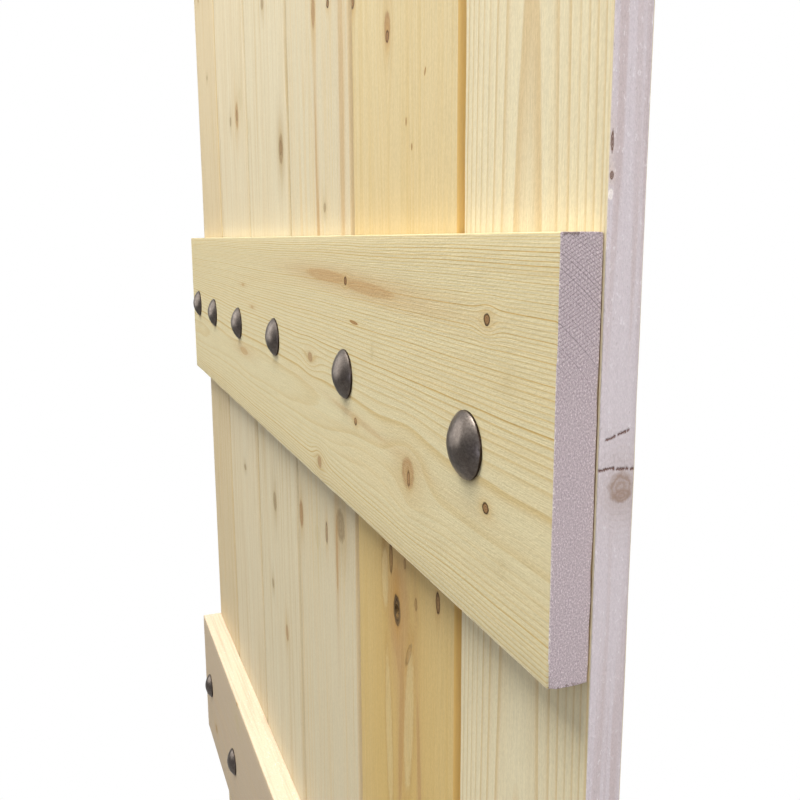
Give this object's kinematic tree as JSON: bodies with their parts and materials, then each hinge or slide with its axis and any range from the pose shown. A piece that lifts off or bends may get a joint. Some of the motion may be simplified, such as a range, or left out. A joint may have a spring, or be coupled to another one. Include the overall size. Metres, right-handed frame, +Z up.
{
  "type": "barn door",
  "caption": "Board-and-rail sliding door slab in raw knotty pine, with V-jointed tongue-and-groove boards, rails across the front and dome-headed nails.",
  "frame": {"origin": "middle of the bottom edge, midway through the boards' thickness", "axes": "+Z up the door, the front with its rails and nails faces -Y, +X to the right seen from the front"},
  "size_m": [1.016, 0.0525, 2.134],
  "materials": {
    "board_pine": "raw planed knotty pine boards, pale yellow",
    "rail_pine": "raw planed knotty pine rail, pale straw, sawn ends",
    "dome_nails": "antique bronze, mottled satin",
    "wood_screws": "zinc-plated steel"
  },
  "bodies": {
    "root": {"board_1": "board_pine", "board_2": "board_pine", "board_3": "board_pine", "board_4": "board_pine", "board_5": "board_pine", "board_6": "board_pine", "bottom_rail": "rail_pine", "lower_rail": "rail_pine", "upper_rail": "rail_pine", "top_rail": "rail_pine", "bottom_rail_nail_1": "dome_nails", "bottom_rail_nail_2": "dome_nails", "bottom_rail_nail_3": "dome_nails", "bottom_rail_nail_4": "dome_nails", "bottom_rail_nail_5": "dome_nails", "bottom_rail_nail_6": "dome_nails", "lower_rail_nail_1": "dome_nails", "lower_rail_nail_2": "dome_nails", "lower_rail_nail_3": "dome_nails", "lower_rail_nail_4": "dome_nails", "lower_rail_nail_5": "dome_nails", "lower_rail_nail_6": "dome_nails", "upper_rail_nail_1": "dome_nails", "upper_rail_nail_2": "dome_nails", "upper_rail_nail_3": "dome_nails", "upper_rail_nail_4": "dome_nails", "upper_rail_nail_5": "dome_nails", "upper_rail_nail_6": "dome_nails", "top_rail_nail_1": "dome_nails", "top_rail_nail_2": "dome_nails", "top_rail_nail_3": "dome_nails", "top_rail_nail_4": "dome_nails", "top_rail_nail_5": "dome_nails", "top_rail_nail_6": "dome_nails", "bottom_rail_screws": "wood_screws", "lower_rail_screws": "wood_screws", "upper_rail_screws": "wood_screws", "top_rail_screws": "wood_screws"}
  },
  "joints": []
}
